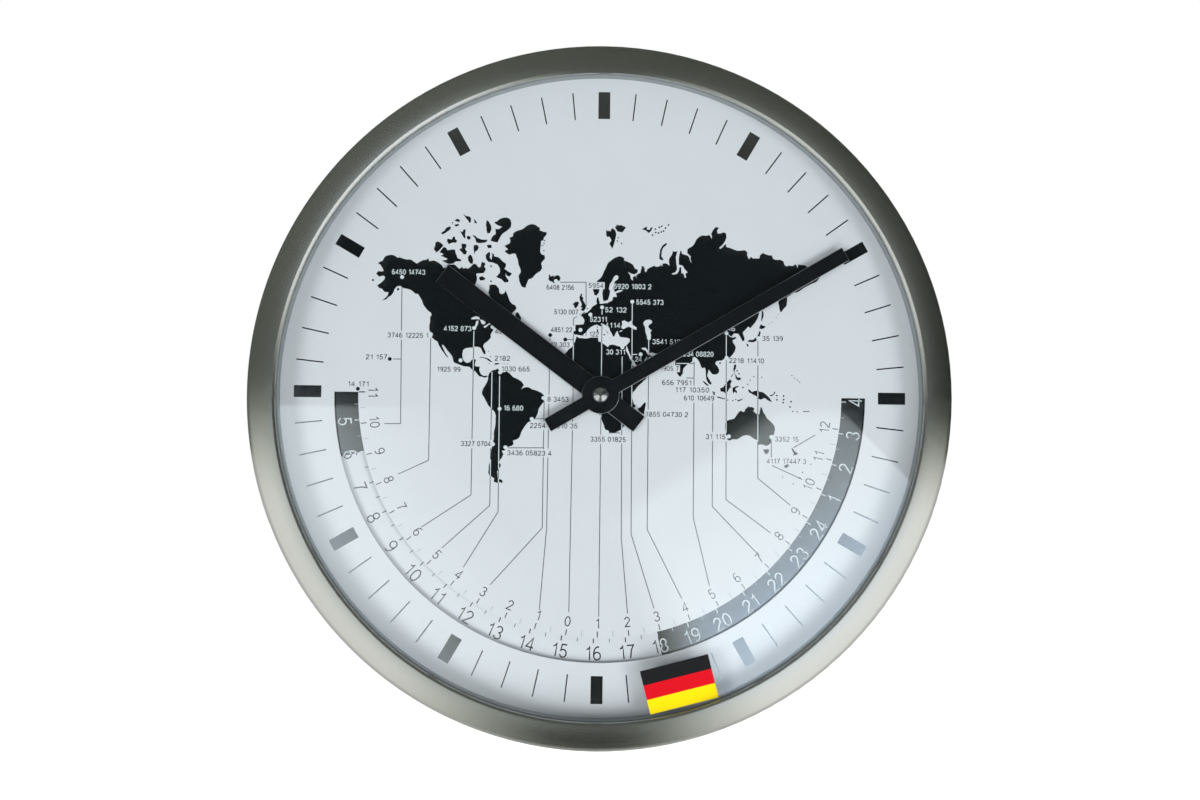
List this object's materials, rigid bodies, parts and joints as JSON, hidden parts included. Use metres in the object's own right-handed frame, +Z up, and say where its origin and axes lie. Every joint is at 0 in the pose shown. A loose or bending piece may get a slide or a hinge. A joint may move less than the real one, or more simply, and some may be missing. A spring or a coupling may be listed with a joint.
{
  "type": "world time wall clock",
  "caption": "Round wall clock with a brushed steel bezel, two black hands and a turning hour disc seen through a half-ring window.",
  "frame": {"origin": "the point of the wall plane (the rear rim) behind the middle arbor", "axes": "+X to the right and +Z up as the dial is read, +Y into the wall, the dial faces -Y"},
  "size_m": [0.3, 0.0461, 0.3012],
  "materials": {
    "bezel": "brushed",
    "front_glass": "polished",
    "glass_gasket": "matte",
    "spacer_ring": "gloss",
    "dial_plate": "matte",
    "support_ring": "matte",
    "carrier_plate": "mill",
    "rear_pan": "fine grain",
    "case_screws": "turned",
    "hanger_bracket": "zinc plated",
    "hanger_screws": "turned",
    "wall_bumpers": "matte",
    "glass_label": "printed in three bands",
    "minute_hand": "painted matte black",
    "hour_hand": "painted matte black",
    "hand_bushes": "blackened",
    "centre_nut": "turned and polished",
    "window_disc": "printed",
    "disc_hub": "turned",
    "movement_case": "satin",
    "movement_cover": "satin",
    "middle_plate": "satin",
    "cover_screws": "turned",
    "threaded_bush": "turned",
    "fixing_washer": "matte",
    "fixing_nut": "turned",
    "battery": "printed sleeve",
    "contacts": "nickel plated",
    "circuit_board": "lacquered",
    "chip_cover": "gloss",
    "quartz_crystal": "drawn can",
    "stator": "stamped",
    "coil_core": "stamped",
    "coil_bobbin": "satin",
    "coil_winding": "enamelled copper wire",
    "wheels": "moulded",
    "steel_arbors": "turned",
    "rotor_magnet": "ground",
    "setting_knob": "satin"
  },
  "bodies": {
    "case": {"bezel": "bezel", "front_glass": "front_glass", "glass_gasket": "glass_gasket", "spacer_ring": "spacer_ring", "dial_plate": "dial_plate", "support_ring": "support_ring", "carrier_plate": "carrier_plate", "rear_pan": "rear_pan", "case_screws": "case_screws", "hanger_bracket": "hanger_bracket", "hanger_screws": "hanger_screws", "wall_bumpers": "wall_bumpers", "glass_label": "glass_label", "threaded_bush": "threaded_bush", "fixing_washer": "fixing_washer", "fixing_nut": "fixing_nut", "movement_case": "movement_case", "movement_cover": "movement_cover", "cover_screws": "cover_screws", "middle_plate": "middle_plate", "battery": "battery", "plus_contact": "contacts", "minus_contact": "contacts", "circuit_board": "circuit_board", "chip_cover": "chip_cover", "quartz_crystal": "quartz_crystal", "stator": "stator", "coil_core": "coil_core", "coil_bobbin": "coil_bobbin", "coil_winding": "coil_winding"},
    "minute_group": {"minute_arbor": "steel_arbors", "clutch_spring": "steel_arbors", "clutch_collar": "steel_arbors", "minute_hand": "minute_hand", "minute_hand_bush": "hand_bushes", "centre_nut": "centre_nut"},
    "hour_group": {"hour_wheel": "wheels", "hour_hand": "hour_hand", "hour_hand_bush": "hand_bushes"},
    "disc_group": {"day_wheel": "wheels", "disc_hub": "disc_hub", "window_disc": "window_disc"},
    "minute_wheel": {"minute_wheel": "wheels"},
    "idler_wheel": {"idler_wheel": "wheels"},
    "setting_knob": {"setting_knob": "setting_knob"},
    "rotor_group": {"rotor": "wheels", "rotor_magnet": "rotor_magnet"},
    "first_wheel": {"first_wheel": "wheels"},
    "second_wheel": {"second_wheel": "wheels"},
    "third_wheel": {"third_wheel": "wheels"},
    "centre_wheel": {"centre_wheel": "wheels"}
  },
  "joints": [
    {"name": "minute_hand_turn", "type": "hinge", "parent": "case", "child": "minute_group", "pos_m": [0, 0, 0], "axis": [0, 1, 0], "continuous": true},
    {"name": "hour_hand_turn", "type": "hinge", "parent": "case", "child": "hour_group", "pos_m": [0, 0, 0], "axis": [0, 1, 0], "continuous": true},
    {"name": "window_disc_turn", "type": "hinge", "parent": "case", "child": "disc_group", "pos_m": [0, 0, 0], "axis": [0, 1, 0], "continuous": true},
    {"name": "minute_wheel_turn", "type": "hinge", "parent": "case", "child": "minute_wheel", "pos_m": [-0.00902, 0, -0.00328], "axis": [0, 1, 0], "continuous": true},
    {"name": "idler_wheel_turn", "type": "hinge", "parent": "case", "child": "idler_wheel", "pos_m": [0.00831, 0, 0.0048], "axis": [0, 1, 0], "continuous": true},
    {"name": "setting_knob_turn", "type": "hinge", "parent": "case", "child": "setting_knob", "pos_m": [-0.01862, 0, -0.00328], "axis": [0, 1, 0], "continuous": true},
    {"name": "rotor_turn", "type": "hinge", "parent": "case", "child": "rotor_group", "pos_m": [0.01707, 0, 0.0048], "axis": [0, 1, 0], "continuous": true},
    {"name": "first_wheel_turn", "type": "hinge", "parent": "case", "child": "first_wheel", "pos_m": [0.01443, 0, 0.01465], "axis": [0, 1, 0], "continuous": true},
    {"name": "second_wheel_turn", "type": "hinge", "parent": "case", "child": "second_wheel", "pos_m": [0.00418, 0, 0.01284], "axis": [0, 1, 0], "continuous": true},
    {"name": "third_wheel_turn", "type": "hinge", "parent": "case", "child": "third_wheel", "pos_m": [-0.0054, 0, 0.00935], "axis": [0, 1, 0], "continuous": true},
    {"name": "centre_wheel_turn", "type": "hinge", "parent": "case", "child": "centre_wheel", "pos_m": [0, 0, 0], "axis": [0, 1, 0], "continuous": true}
  ],
  "couplings": [
    {"joint": "minute_wheel_turn", "follows": "minute_hand_turn", "ratio": -0.33333},
    {"joint": "hour_hand_turn", "follows": "minute_hand_turn", "ratio": 0.083333},
    {"joint": "idler_wheel_turn", "follows": "minute_hand_turn", "ratio": -0.041667},
    {"joint": "window_disc_turn", "follows": "minute_hand_turn", "ratio": 0.020833},
    {"joint": "setting_knob_turn", "follows": "minute_hand_turn", "ratio": 1},
    {"joint": "first_wheel_turn", "follows": "rotor_turn", "ratio": -0.13333},
    {"joint": "second_wheel_turn", "follows": "rotor_turn", "ratio": 0.033333},
    {"joint": "third_wheel_turn", "follows": "rotor_turn", "ratio": -0.0044444},
    {"joint": "centre_wheel_turn", "follows": "rotor_turn", "ratio": 0.00055556}
  ]
}
